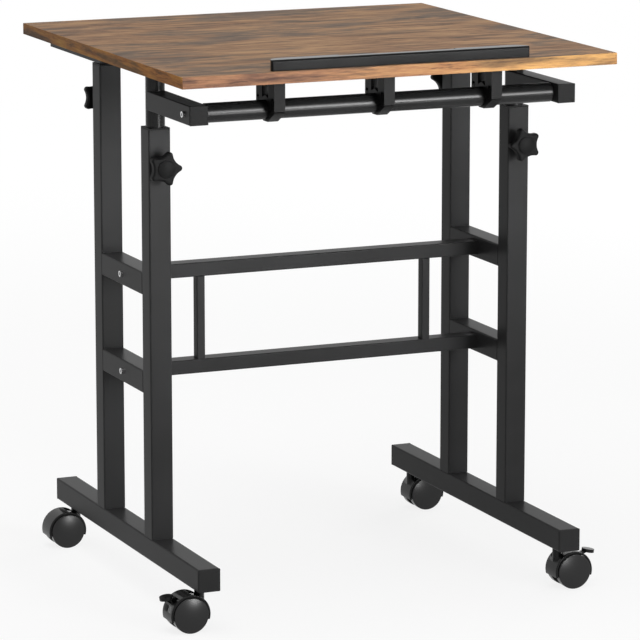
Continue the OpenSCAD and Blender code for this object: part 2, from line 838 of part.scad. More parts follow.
// Turns a section into a solid round the axle: x is the radius, y runs along the axle
module about_axle() {
    rotate([90, 0, 0]) rotate_extrude($fn = 96) children();
}

// The hood's section, with each rim broken by two slopes: x is the radius, y runs along the axle
module hood_section() {
    half = hood_w / 2;
    near = 0.4 * hood_round;
    far = 1.2 * hood_round;
    polygon([
        [0, -half], [hood_r - hood_round, -half], [hood_r - near, near - half], [hood_r, far - half],
        [hood_r, half - far], [hood_r - near, half - near], [hood_r - hood_round, half], [0, half]
    ]);
}

module hood(braked) {
    color(plastic_black) difference() {
        union() {
            translate([trail, 0, axle_z]) difference() {
                intersection() {
                    about_axle() hood_section();
                    translate([-wheel_d, -wheel_d, -skirt_drop]) cube(2 * wheel_d);
                }
                // Space for each wheel
                for (s = [-1, 1]) translate([0, s * (core_w + hood_w) / 2, 0]) rotate([90, 0, 0])
                    cylinder(r = wheel_r + wheel_gap, h = hood_w, center = true, $fn = 96);
                rotate([90, 0, 0]) cylinder(r = axle_d / 2 + pin_fit, h = core_w + cut, center = true);
                translate([-wheel_d, -recess_half_w, recess_floor])
                    cube([wheel_d + recess_end, 2 * recess_half_w, wheel_d]);
                if (braked) lever_space();
            }
            translate([0, 0, axle_z]) cylinder(r = boss_r, h = boss_top - axle_z);
        }
        translate([0, 0, boss_top - stem_depth - swivel_gap])
            cylinder(r = stem_d / 2 + pin_fit, h = stem_depth + swivel_gap + cut);
    }
}

// The brake lever turns on two trunnions in the hood's core
lever_pivot = [8, 18];
lever_hub_r = 4;
trunnion_r = 2;
trunnion_l = 9.6;
pocket_gap = 0.4;
lever_low = 14.5;
lever_high = 22.6;
window_half_w = 11;
window_start = 15;
slit_w = 3;
slit_low = 4.5;
slit_high = 13;
slit_depth = 3;
// Inner end of the pedal's underside
pedal_in = [pedal_reach - pedal_d * cos(pedal_slope) - pedal_t * sin(pedal_slope), 22];
blade_low = 17;
blade_bite = 5.5;

// The slot for the blade, with the window and the slit in the hood's trailing side
module lever_space() {
    slot = blade_t + 2 * pocket_gap;
    translate([lever_pivot[0], 0, lever_pivot[1]]) rotate([90, 0, 0]) {
        cylinder(r = lever_hub_r + 2 * pocket_gap, h = slot, center = true);
        cylinder(r = trunnion_r + pin_fit, h = trunnion_l + pocket_gap, center = true);
    }
    translate([lever_pivot[0], -slot / 2, lever_low]) cube([wheel_d, slot, lever_high - lever_low]);
    translate([window_start, -window_half_w, lever_low])
        cube([wheel_d, 2 * window_half_w, lever_high - lever_low]);
    translate([hood_r - slit_depth, -slit_w / 2, slit_low]) cube([wheel_d, slit_w, slit_high - slit_low]);
}

module brake_lever() {
    color(plastic_black) translate([trail, 0, axle_z]) {
        translate([lever_pivot[0], 0, lever_pivot[1]]) rotate([90, 0, 0]) {
            cylinder(r = lever_hub_r, h = blade_t, center = true);
            cylinder(r = trunnion_r, h = trunnion_l, center = true);
        }
        rotate([90, 0, 0]) linear_extrude(height = blade_t, center = true) polygon([
            [lever_pivot[0], blade_low], [pedal_in[0] - 2.5, blade_low],
            [pedal_in[0] + blade_bite, pedal_in[1] - 1.6], [pedal_in[0] + blade_bite, pedal_in[1] - 0.5],
            [pedal_in[0] + 0.2, pedal_in[1] + 0.6], [lever_pivot[0], lever_pivot[1] + 3]
        ]);
        translate([pedal_in[0], 0, pedal_in[1]]) rotate([0, pedal_slope, 0])
            translate([pedal_d / 2, 0, 0]) cylinder(r = pedal_d / 2, h = pedal_t);
    }
}

// A wheel's section, from its inner face outwards: x is the radius, y runs along the axle
module wheel_section() {
    face_r = wheel_r - wheel_edge;
    dome_curve = arc_r(face_r, wheel_dome);
    difference() {
        union() {
            square([face_r, wheel_w]);
            translate([0, wheel_edge]) square([wheel_r, wheel_w - 2 * wheel_edge]);
            for (y = [wheel_edge, wheel_w - wheel_edge]) translate([face_r, y]) circle(r = wheel_edge);
            intersection() {
                translate([0, wheel_w + wheel_dome - dome_curve]) circle(r = dome_curve, $fn = 256);
                translate([0, wheel_w - bite]) square([face_r, wheel_dome + bite + cut]);
            }
        }
        // Blind bore for the axle
        translate([-cut, -cut]) square([axle_d / 2 + mould_gap + cut, wheel_w - axle_cover + cut]);
        translate([-wheel_d, -wheel_d / 2]) square([wheel_d, wheel_d]);
    }
}
// Thickness of a wheel beyond the end of its axle
axle_cover = 3;

module wheel_pair() {
    color(plastic_black) translate([trail, 0, axle_z]) for (s = [-1, 1])
        translate([0, s * wheel_in_y, 0]) rotate([-90 * s, 0, 0]) rotate_extrude($fn = 96) wheel_section();
}

module axle() {
    color(zinc) translate([trail, 0, axle_z]) rotate([90, 0, 0])
        cylinder(r = axle_d / 2, h = 2 * (wheel_in_y + wheel_w - axle_cover - mould_gap), center = true);
}

module front_right_hood() { at_caster(1, -1) hood(true); }
module front_left_hood() { at_caster(-1, -1) hood(true); }
module rear_right_hood() { at_caster(1, 1) hood(false); }
module rear_left_hood() { at_caster(-1, 1) hood(false); }
module front_right_axle() { at_caster(1, -1) axle(); }
module front_left_axle() { at_caster(-1, -1) axle(); }
module rear_right_axle() { at_caster(1, 1) axle(); }
module rear_left_axle() { at_caster(-1, 1) axle(); }
module front_right_wheels() { at_caster(1, -1) wheel_pair(); }
module front_left_wheels() { at_caster(-1, -1) wheel_pair(); }
module rear_right_wheels() { at_caster(1, 1) wheel_pair(); }
module rear_left_wheels() { at_caster(-1, 1) wheel_pair(); }
module right_brake_lever() { at_caster(1, -1) brake_lever(); }
module left_brake_lever() { at_caster(-1, -1) brake_lever(); }

desktop_board();
book_stop();
left_saddle();
middle_saddle();
right_saddle();
saddle_clamps();
left_slide_rail();
right_slide_rail();
board_screws();
left_front_tube();
right_front_tube();
front_tube_glides();
front_tube_caps();
left_arm();
right_arm();
arm_end_caps();
front_cross_tube();
cross_tube_washers();
cross_tube_bolts();
left_rear_tube();
right_rear_tube();
rear_tube_glides();
rear_tube_heads();
rear_rail_pins();
left_foot();
right_foot();
foot_end_caps();
front_left_column();
front_right_column();
rear_left_column();
rear_right_column();
column_bushes();
clamp_nuts();
left_side_bars();
right_side_bars();
upper_cross_bar();
lower_cross_bar();
left_strut();
right_strut();
cross_bar_bolts();
caster_sockets();
caster_stems();
front_left_knob();
front_right_knob();
rear_left_knob();
rear_right_knob();
front_left_hood();
front_right_hood();
rear_left_hood();
rear_right_hood();
front_left_axle();
front_right_axle();
rear_left_axle();
rear_right_axle();
front_left_wheels();
front_right_wheels();
rear_left_wheels();
rear_right_wheels();
left_brake_lever();
right_brake_lever();
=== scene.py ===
"""Mobile sit-stand desk: a rustic tilting board on a black telescopic frame with four casters."""

import json
import logging
import math
from collections.abc import Callable, Iterable, Sequence
from dataclasses import dataclass
from enum import Enum
from functools import cache

import bmesh
import bpy
from mathutils import Matrix, Vector


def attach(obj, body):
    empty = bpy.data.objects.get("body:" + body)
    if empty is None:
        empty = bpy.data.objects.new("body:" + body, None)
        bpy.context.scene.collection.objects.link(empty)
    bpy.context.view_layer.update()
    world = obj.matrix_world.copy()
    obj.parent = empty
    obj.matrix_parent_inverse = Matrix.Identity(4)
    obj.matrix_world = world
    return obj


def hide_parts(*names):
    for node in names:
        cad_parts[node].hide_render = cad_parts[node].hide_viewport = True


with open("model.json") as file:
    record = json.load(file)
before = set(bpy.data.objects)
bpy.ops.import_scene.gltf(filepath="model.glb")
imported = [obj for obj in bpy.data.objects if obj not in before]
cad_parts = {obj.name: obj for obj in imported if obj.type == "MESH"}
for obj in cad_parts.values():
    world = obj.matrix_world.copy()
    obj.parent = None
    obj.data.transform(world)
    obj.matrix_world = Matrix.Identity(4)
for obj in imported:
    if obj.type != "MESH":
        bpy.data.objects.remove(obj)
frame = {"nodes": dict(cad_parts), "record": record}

MM = 0.001
log = logging.getLogger("desk")

# How far the feet and columns stand to either side, and the columns to the front and rear, in mm
FRAME_X = 256.0
COLUMN_Y = 90.0

Colour = tuple[float, float, float]
Point = tuple[float, float, float]
Spot = tuple[float, float]


class Axis(Enum):
    """A direction that a tube, bar or turned piece lies along."""

    X = 0
    Y = 1
    Z = 2


class Place(Enum):
    """A place whose word is part of the names of pieces and nodes."""

    @property
    def word(self) -> str:
        """The place's name in lower case."""
        return self.name.lower()


class Side(Place):
    """The user's left or right, as the sign of X."""

    LEFT = -1
    RIGHT = 1


class End(Place):
    """The front or the rear of the desk, as the sign of Y."""

    FRONT = -1
    REAR = 1


class Slot(Enum):
    """The record's material slots."""

    BOARD = "rustic_board"
    STOP = "stop_plastic"
    MOULDED = "moulded_plastic"
    COAT = "powder_coat"
    TUBE = "tube_gloss"
    ZINC = "zinc"
    STEM = "stem_steel"
    KNOB = "knob_plastic"
    HOOD = "hood_plastic"
    WHEEL = "wheel_nylon"


# Shader maths


class Term:
    """A value socket that adds Math nodes when it is used in arithmetic."""

    def __init__(self, shade: "Shade", socket: bpy.types.NodeSocket) -> None:
        """Keeps the tree and the socket.

        Args:
            shade: The tree that the socket is in.
            socket: The output that holds the value.
        """
        self.shade = shade
        self.socket = socket

    def _math(self, operation: str, first: "Term | float", second: "Term | float") -> "Term":
        """Adds one Math node.

        Args:
            operation: The Math node's operation.
            first: The first input.
            second: The second input.

        Returns:
            The node's output.
        """
        node = self.shade.node("ShaderNodeMath", {"operation": operation}, {0: first, 1: second})
        return Term(self.shade, node.outputs[0])

    def __add__(self, other: "Term | float") -> "Term":
        """Adds other."""
        return self._math("ADD", self, other)

    def __radd__(self, other: float) -> "Term":
        """Adds this to a number."""
        return self._math("ADD", other, self)

    def __sub__(self, other: "Term | float") -> "Term":
        """Takes other away."""
        return self._math("SUBTRACT", self, other)

    def __rsub__(self, other: float) -> "Term":
        """Takes this away from a number."""
        return self._math("SUBTRACT", other, self)

    def __mul__(self, other: "Term | float") -> "Term":
        """Multiplies by other."""
        return self._math("MULTIPLY", self, other)

    def most(self, other: "Term | float") -> "Term":
        """The larger of this and other."""
        return self._math("MAXIMUM", self, other)


Input = Term | bpy.types.NodeSocket | float | Colour


class Shade:
    """The node tree of a material or of the world."""

    def __init__(self, owner: bpy.types.Material | bpy.types.World) -> None:
        """Empties the tree.

        Args:
            owner: The material or the world.
        """
        self.owner = owner
        owner.use_nodes = True
        self.tree = owner.node_tree
        self.tree.nodes.clear()

    def node(
        self,
        kind: str,
        settings: dict[str, object] | None = None,
        inputs: dict[int | str, Input] | None = None,
    ) -> bpy.types.Node:
        """Adds a node, sets it up, then fills its sockets.

        Args:
            kind: The node's type.
            settings: Its settings; stops are the places and colours of a ramp.
            inputs: The values or links of its sockets, by name or number.

        Returns:
            The new node.
        """
        node = self.tree.nodes.new(kind)
        for name, value in (settings or {}).items():
            if name == "stops":
                self._set_stops(node.color_ramp, value)
            else:
                setattr(node, name, value)
        for key, value in (inputs or {}).items():
            socket = node.inputs[key]
            if isinstance(value, Term):
                self.tree.links.new(value.socket, socket)
            elif isinstance(value, bpy.types.NodeSocket):
                self.tree.links.new(value, socket)
            elif isinstance(value, tuple) and socket.type == "RGBA":
                socket.default_value = (*value, 1.0)
            else:
                socket.default_value = value
        return node

    @staticmethod
    def _set_stops(ramp: bpy.types.ColorRamp, stops: Sequence[tuple[float, Colour]]) -> None:
        """Writes a ramp's stops.

        Args:
            ramp: The ramp, which starts with two stops.
            stops: The place and the colour of each stop.
        """
        while len(ramp.elements) < len(stops):
            ramp.elements.new(0.5)
        for element, (place, colour) in zip(ramp.elements, stops):
            element.position = place
            element.color = (*colour, 1.0)

    def place(
        self, stretch: Point = (1.0, 1.0, 1.0), shift: Point = (0.0, 0.0, 0.0)
    ) -> bpy.types.NodeSocket:
        """Object coordinates, stretched and shifted.

        Args:
            stretch: How many times each axis is multiplied.
            shift: What is added to each axis.

        Returns:
            The vector's socket.
        """
        coords = self.node("ShaderNodeTexCoord").outputs["Object"]
        mapping = self.node(
            "ShaderNodeMapping", inputs={"Vector": coords, "Scale": stretch, "Location": shift}
        )
        return mapping.outputs[0]

    def noise(
        self, at: bpy.types.NodeSocket, scale: float, detail: float = 3.0, rough: float = 0.5,
        warp: float = 0.0,
    ) -> Term:
        """A noise value between 0 and 1.

        Args:
            at: Where it is read.
            scale: Its scale, per metre of the vector given.
            detail: How many layers it has.
            rough: How strong its finer layers are.
            warp: How far it is distorted.

        Returns:
            The noise's value.
        """
        inputs = {
            "Vector": at, "Scale": scale, "Detail": detail, "Roughness": rough, "Distortion": warp,
        }
        return Term(self, self.node("ShaderNodeTexNoise", inputs=inputs).outputs[0])

    def ramp(self, value: Term, stops: Sequence[tuple[float, Colour]]) -> bpy.types.NodeSocket:
        """A colour looked up from a value.

        Args:
            value: The value.
            stops: The place and the colour of each stop.

        Returns:
            The colour's socket.
        """
        return self.node("ShaderNodeValToRGB", {"stops": stops}, {0: value}).outputs[0]

    def step(self, value: Term, low: float, high: float) -> Term:
        """A soft step from 0 to 1.

        Args:
            value: The value that steps.
            low: Where it starts.
            high: Where it ends.

        Returns:
            The stepped value.
        """
        node = self.node(
            "ShaderNodeMapRange", {"interpolation_type": "SMOOTHSTEP"},
            {"Value": value, "From Min": low, "From Max": high},
        )
        return Term(self, node.outputs[0])

    def mix(
        self, share: Term | float, first: Input, second: Input, blend: str = "MIX"
    ) -> bpy.types.NodeSocket:
        """Mixes two colours.

        Args:
            share: How much of the second there is.
            first: The first colour.
            second: The second colour.
            blend: The way they mix.

        Returns:
            The mixed colour's socket.
        """
        settings = {"data_type": "RGBA", "blend_type": blend}
        # A Mix node's colour sockets come after those for numbers and vectors
        return self.node("ShaderNodeMix", settings, {0: share, 6: first, 7: second}).outputs[2]

    def bump(self, height: Term, distance: float) -> bpy.types.NodeSocket:
        """A normal raised by a height.

        Args:
            height: The height, between 0 and 1.
            distance: How far 1 stands out, in metres.

        Returns:
            The normal's socket.
        """
        inputs = {"Height": height, "Distance": distance, "Strength": 1.0}
        return self.node("ShaderNodeBump", inputs=inputs).outputs[0]

    def seen(self) -> Term:
        """1 on rays that can show the surface to the camera, and 0 on all others.

        Those that can come straight from the camera, off a gloss or through glass.

        Returns:
            The value.
        """
        rays = self.node("ShaderNodeLightPath").outputs
        straight, mirrored, through = (
            Term(self, rays[f"Is {kind} Ray"]) for kind in ("Camera", "Glossy", "Transmission")
        )
        return straight.most(mirrored).most(through)

    def close(self, inputs: dict[int | str, Input]) -> bpy.types.Material:
        """Adds a Principled shader and the output.

        Args:
            inputs: The shader's sockets.

        Returns:
            The finished material.
        """
        shader = self.node("ShaderNodeBsdfPrincipled", inputs=inputs)
        self.node("ShaderNodeOutputMaterial", inputs={"Surface": shader.outputs[0]})
        return self.owner


# Finishes


@dataclass(frozen=True)
class Finish:
    """What a surface is finished with."""

    name: str

    def make(self) -> bpy.types.Material:
        """Makes the material.

        Returns:
            The finished material.
        """
        raise NotImplementedError


@cache
def material_of(finish: Finish) -> bpy.types.Material:
    """The finish's material, made once.

    Args:
        finish: The finish.

    Returns:
        Its material.
    """
    return finish.make()


@dataclass(frozen=True)
class Clouded(Finish):
    """Paint, plastic or plated steel: a slow cloud of tones under a fine skin."""

    tone: float = 0.02
    tone_ends: tuple[float, float] = (0.86, 1.14)
    blue_cast: float = 1.02
    metallic: float = 0.0
    roughness: float = 0.42
    cloud_scale: float = 9.0
    cloud_detail: float = 2.0
    cloud_roughness: float = 0.08
    skin_scale: float = 900.0
    skin_rough: float = 0.6
    skin_depth: float = 0.00003
    skin_roughness: float = 0.05
    specular: float = 0.5

    def make(self) -> bpy.types.Material:
        """Makes the material.

        Returns:
            The finished material.
        """
        shade = Shade(bpy.data.materials.new(self.name))
        at = shade.place()
        cloud = shade.noise(at, self.cloud_scale, self.cloud_detail)
        skin = shade.noise(at, self.skin_scale, 2.0, self.skin_rough)
        low, high = (self.tone * end for end in self.tone_ends)
        tones = [(0.3, (low, low, low)), (0.7, (high, high, high * self.blue_cast))]
        uneven = (cloud - 0.5) * self.cloud_roughness
        return shade.close({
            "Base Color": shade.ramp(cloud, tones),
            "Metallic": self.metallic,
            "Roughness": self.roughness + uneven + (skin - 0.5) * self.skin_roughness,
            "Specular IOR Level": self.specular,
            "Normal": shade.bump(skin, self.skin_depth),
        })


@dataclass(frozen=True)
class Grain:
    """One layer of a wood print's noise, with its scales along and across the grain."""

    along: float
    across: float
    detail: float
    rough: float
    warp: float = 0.0
    shift: Point = (0.0, 0.0, 0.0)


@dataclass(frozen=True)
class RusticWood(Finish):
    """Printed rustic wood: tan, red-brown and grey-brown streaks that run along one axis.

    Patches, streaks and pores together look up a tone, and hues choose between the warm and the
    cool tones. Deep streaks are cut dark. The casts tint the two ends of an edge.
    """

    along: Axis = Axis.X
    dark: Colour = (0.055, 0.04, 0.03)
    grey: Colour = (0.135, 0.094, 0.066)
    brown: Colour = (0.18, 0.094, 0.05)
    tan: Colour = (0.29, 0.165, 0.085)
    light: Colour = (0.42, 0.25, 0.125)
    warm_stops: tuple[float, ...] = (0.39, 0.45, 0.52, 0.6)
    cool_stops: tuple[float, ...] = (0.4, 0.48, 0.55, 0.64)
    hue_ends: tuple[float, float] = (0.46, 0.54)
    cut_ends: tuple[float, float] = (0.38, 0.43)
    cut_share: float = 0.5
    low_cast: Colour = (1.0, 1.0, 1.0)
    high_cast: Colour = (1.0, 1.0, 1.0)
    cast_ends: tuple[float, float] = (-0.3, 0.3)
    cast_waver: float = 0.3
    patches: Grain = Grain(6.5, 21.0, 7.0, 0.68, 1.1)
    hues: Grain = Grain(2.6, 9.0, 4.0, 0.6, 0.8, (7.3, 2.1, 4.4))
    streaks: Grain = Grain(9.0, 95.0, 6.0, 0.7, 0.495, (1.7, 5.2, 3.3))
    pores: Grain = Grain(60.0, 900.0, 2.0, 0.5, shift=(2.9, 0.4, 8.1))
    streak_share: float = 0.42
    pore_share: float = 0.1
    roughness: float = 0.62
    streak_roughness: float = 0.14
    specular: float = 0.1
    streak_relief: float = 0.6
    relief_depth: float = 0.00012

    def _layer(self, shade: Shade, grain: Grain) -> Term:
        """Adds one layer of noise.

        Args:
            shade: The material that it is in.
            grain: The layer.

        Returns:
            Its value, between 0 and 1.
        """
        stretch = tuple(grain.along if axis is self.along else grain.across for axis in Axis)
        at = shade.place(stretch, grain.shift)
        return shade.noise(at, 1.0, grain.detail, grain.rough, grain.warp)

    def make(self) -> bpy.types.Material:
        """Makes the material.

        Returns:
            The finished material.
        """
        shade = Shade(bpy.data.materials.new(self.name))
        patches = self._layer(shade, self.patches)
        hues = self._layer(shade, self.hues)
        streaks = self._layer(shade, self.streaks)
        pores = self._layer(shade, self.pores)
        patch_share = 1.0 - self.pore_share - self.streak_share
        value = patches * patch_share + streaks * self.streak_share + pores * self.pore_share
        warm_tones = (self.dark, self.brown, self.tan, self.light)
        cool_tones = (self.dark, self.grey, self.tan, self.light)
        warm = shade.ramp(value, list(zip(self.warm_stops, warm_tones)))
        cool = shade.ramp(value, list(zip(self.cool_stops, cool_tones)))
        colour = shade.mix(shade.step(hues, *self.hue_ends), warm, cool)
        cut = shade.step(streaks, *self.cut_ends)
        colour = shade.mix((1.0 - cut) * self.cut_share, colour, self.dark)
        if self.low_cast != self.high_cast:
            spot = shade.node("ShaderNodeSeparateXYZ", inputs={0: shade.place()})
            waver = (hues - 0.5) * self.cast_waver
            run = Term(shade, spot.outputs[self.along.value]) + waver
            cast = shade.mix(shade.step(run, *self.cast_ends), self.low_cast, self.high_cast)
            colour = shade.mix(1.0, colour, cast, "MULTIPLY")
        relief = streaks * self.streak_relief + pores * (1.0 - self.streak_relief)
        return shade.close({
            "Base Color": colour,
            "Roughness": self.roughness + (streaks - 0.5) * self.streak_roughness,
            "Specular IOR Level": self.specular,
            "Normal": shade.bump(relief, self.relief_depth),
        })


FINE_SKIN = 0.00001
COAT = Clouded("powder_coat_satin", tone=0.036, roughness=0.32, specular=0.04)
TUBE = Clouded("tube_semi_gloss", tone=0.012, roughness=0.26, skin_depth=FINE_SKIN, specular=0.18)
CAP = Clouded("cap_plastic", tone=0.03, specular=0.06)
MOULDED = Clouded("moulded_black", tone=0.011, specular=0.06)
STOP = Clouded("stop_black", tone=0.004, roughness=0.18, skin_depth=FINE_SKIN, specular=0.08)
KNOB = Clouded("knob_matt", tone=0.01, roughness=0.5, specular=0.06)
HOOD = Clouded("hood_semi_gloss", tone=0.009, roughness=0.18, skin_depth=FINE_SKIN, specular=0.16)
WHEEL = Clouded("wheel_nylon_satin", tone=0.014, roughness=0.24, skin_depth=FINE_SKIN, specular=0.3)
STEM = Clouded("stem_black_steel", tone=0.015, roughness=0.35, skin_depth=FINE_SKIN)
# Painted shade: the board's underside is near-black to stand in for the shadow under the board,
# which the arms and the cross tube reflect
UNDERSIDE_SHADE = Clouded("board_backing", tone=0.012, roughness=0.6, specular=0.2)
ZINC = Clouded(
    "zinc_plate", tone=0.66, tone_ends=(0.85, 1.1), blue_cast=1.01, metallic=1.0, roughness=0.28,
    cloud_scale=220.0, cloud_detail=3.0, cloud_roughness=0.2, skin_scale=1500.0, skin_rough=0.5,
    skin_depth=0.00002, skin_roughness=0.0,
)
EDGE_PATCHES = Grain(5.0, 40.0, 7.0, 0.68, 0.3)
EDGE_STREAKS = Grain(9.0, 95.0, 6.0, 0.7, 0.135, (1.7, 5.2, 3.3))
BOARD_TOP = RusticWood("rustic_top")
BOARD_FRONT = RusticWood(
    "rustic_front_edge", dark=(0.09, 0.055, 0.038), grey=(0.2, 0.12, 0.07),
    brown=(0.26, 0.13, 0.068), tan=(0.38, 0.215, 0.105), light=(0.5, 0.32, 0.15),
    low_cast=(0.75, 0.66, 0.75), high_cast=(1.2, 1.15, 0.85), cast_ends=(-0.2, 0.3),
    patches=EDGE_PATCHES, streaks=EDGE_STREAKS, streak_share=0.5,
)
BOARD_SIDE = RusticWood(
    "rustic_side_edge", along=Axis.Y, dark=(0.08, 0.05, 0.032), grey=(0.17, 0.1, 0.055),
    brown=(0.24, 0.11, 0.05), tan=(0.36, 0.18, 0.07), light=(0.48, 0.3, 0.1),
    low_cast=(1.35, 1.2, 0.85), high_cast=(0.95, 0.9, 0.9),
    patches=EDGE_PATCHES, streaks=EDGE_STREAKS, streak_share=0.5,
)
SLOT_FINISH: dict[Slot, Finish] = {
    Slot.BOARD: BOARD_TOP, Slot.STOP: STOP, Slot.MOULDED: MOULDED, Slot.COAT: COAT,
    Slot.TUBE: TUBE, Slot.ZINC: ZINC, Slot.STEM: STEM, Slot.KNOB: KNOB, Slot.HOOD: HOOD,
    Slot.WHEEL: WHEEL,
}


# Shapes, all built in millimetres in the desk's own frame

ORIGIN: Point = (0.0, 0.0, 0.0)
TURNED_WELD = 0.001
NODE_WELD = 0.002
FLAT_TURN = 1.0
NODE_RIM_STEPS = 2
BOLT_RIM = 0.5


def box_shape(size: Point, centre: Point) -> bmesh.types.BMesh:
    """A box.

    Args:
        size: Its length along each axis.
        centre: Its middle.

    Returns:
        The box's mesh.
    """
    bm = bmesh.new()
    bmesh.ops.create_cube(bm, size=1.0)
    bmesh.ops.scale(bm, vec=size, verts=bm.verts)
    bmesh.ops.translate(bm, vec=centre, verts=bm.verts)
    return bm


def edges_along(bm: bmesh.types.BMesh, axis: Axis) -> list[bmesh.types.BMEdge]:
    """The edges that run along an axis.

    Args:
        bm: The mesh.
        axis: The axis.

    Returns:
        The edges.
    """
    return [
        e for e in bm.edges
        if abs((e.verts[1].co - e.verts[0].co).normalized()[axis.value]) > 0.99
    ]


def round_edges(
    bm: bmesh.types.BMesh, edges: Iterable[bmesh.types.BMEdge], radius: float, segments: int = 3
) -> None:
    """Rounds edges.

    Args:
        bm: The mesh.
        edges: The edges to round.
        radius: How far the rounding reaches.
        segments: How many steps it has.
    """
    bmesh.ops.bevel(
        bm, geom=list(edges), offset=radius, offset_type="OFFSET", segments=segments, profile=0.5,
        affect="EDGES", material=-1, clamp_overlap=True,
    )


def soft_box(size: Point, centre: Point, radius: float, segments: int = 3) -> bmesh.types.BMesh:
    """A box with every edge rounded.

    Args:
        size: Its length along each axis.
        centre: Its middle.
        radius: The rounding.
        segments: How many steps the rounding has.

    Returns:
        The box's mesh.
    """
    bm = box_shape(size, centre)
    round_edges(bm, bm.edges, radius, segments)
    return bm


def square_tube(
    size: Point, centre: Point, axis: Axis, corner: float, wall: float
) -> bmesh.types.BMesh:
    """A drawn tube with round corners, open at both ends.

    Args:
        size: Its outer length along each axis.
        centre: Its middle.
        axis: The axis that it is hollow along.
        corner: The radius of its outer corners.
        wall: Its wall.

    Returns:
        The tube's mesh.
    """
    bm = box_shape(size, centre)
    bm.faces.ensure_lookup_table()
    ends = [f for f in bm.faces if abs(f.normal[axis.value]) > 0.9]
    bmesh.ops.delete(bm, geom=ends, context="FACES_ONLY")
    round_edges(bm, edges_along(bm, axis), corner, 5)
    bmesh.ops.solidify(bm, geom=bm.faces[:], thickness=wall)
    bmesh.ops.recalc_face_normals(bm, faces=bm.faces)
    return bm


def turned(
    profile: Sequence[Spot], axis: Axis, centre: Point, flip: bool = False, steps: int = 72
) -> bmesh.types.BMesh:
    """A piece turned on a lathe.

    Args:
        profile: The radius and the place along the axis of each point of the section.
        axis: The axis that it is turned about.
        centre: The point that the section starts from.
        flip: Whether the section runs towards the negative end of the axis.
        steps: How many steps the turn has.

    Returns:
        The turned mesh.
    """
    bm = bmesh.new()
    points = [bm.verts.new((radius, 0.0, along)) for radius, along in profile]
    edges = [bm.edges.new(pair) for pair in zip(points, points[1:])]
    bmesh.ops.spin(
        bm, geom=points + edges, cent=ORIGIN, axis=(0, 0, 1), angle=math.tau, steps=steps,
        use_merge=True,
    )
    bmesh.ops.remove_doubles(bm, verts=bm.verts, dist=TURNED_WELD)
    turn = {
        Axis.X: Matrix.Rotation(math.radians(90), 3, "Y"),
        Axis.Y: Matrix.Rotation(math.radians(-90), 3, "X"),
        Axis.Z: Matrix.Identity(3),
    }[axis]
    if flip:
        turn = turn @ Matrix.Rotation(math.pi, 3, "X")
    bmesh.ops.rotate(bm, cent=ORIGIN, matrix=turn, verts=bm.verts)
    bmesh.ops.translate(bm, vec=centre, verts=bm.verts)
    bmesh.ops.recalc_face_normals(bm, faces=bm.faces)
    return bm


def arc(radius: float, start: float, end: float, at: Spot, steps: int = 5) -> list[Spot]:
    """Points on an arc of a section.

    Args:
        radius: The arc's radius.
        start: Its first angle in degrees, from the outward direction.
        end: Its last angle.
        at: Its middle.
        steps: How many steps it has.

    Returns:
        The points.
    """
    angles = [math.radians(start + (end - start) * i / steps) for i in range(steps + 1)]
    return [(at[0] + radius * math.cos(a), at[1] + radius * math.sin(a)) for a in angles]


def ring_section(inner: float, outer: float, low: float, high: float, rim: float) -> list[Spot]:
    """The section of a ring or a tube with its outer rims taken off.

    Args:
        inner: Its inner radius.
        outer: Its outer radius.
        low: Where it starts along its axis.
        high: Where it ends.
        rim: How much is taken off each rim.

    Returns:
        The section's points.
    """
    return [
        (inner, low), (outer - rim, low), (outer, low + rim), (outer, high - rim),
        (outer - rim, high), (inner, high), (inner, low),
    ]


def joined(parts: Iterable[bmesh.types.BMesh]) -> bmesh.types.BMesh:
    """Puts several meshes into one.

    Args:
        parts: The meshes, which are freed.

    Returns:
        One mesh that holds them all.
    """
    whole = bmesh.new()
    for part in parts:
        keep = bpy.data.meshes.new("part")
        part.to_mesh(keep)
        part.free()
        whole.from_mesh(keep)
        bpy.data.meshes.remove(keep)
    return whole


def from_node(node: str, radius: float = 0.0, least_turn: float = 40.0) -> bmesh.types.BMesh:
    """A merged copy of a fixed node, with its sharp edges softened.

    Args:
        node: The node.
        radius: The rounding of its sharp edges, or 0 for none.
        least_turn: The least angle between two faces, in degrees, that is rounded.

    Returns:
        The copy's mesh, in millimetres.
    """
    bm = bmesh.new()
    bm.from_mesh(frame["nodes"][node].data)
    bmesh.ops.scale(bm, vec=(1 / MM, 1 / MM, 1 / MM), verts=bm.verts)
    bmesh.ops.remove_doubles(bm, verts=bm.verts, dist=NODE_WELD)
    bmesh.ops.dissolve_limit(
        bm, angle_limit=math.radians(FLAT_TURN), verts=bm.verts, edges=bm.edges,
        use_dissolve_boundaries=False,
    )
    if radius:
        sharp = [
            e for e in bm.edges
            if len(e.link_faces) == 2 and math.degrees(e.calc_face_angle(0.0)) > least_turn
        ]
        round_edges(bm, sharp, radius, NODE_RIM_STEPS)
    return bm


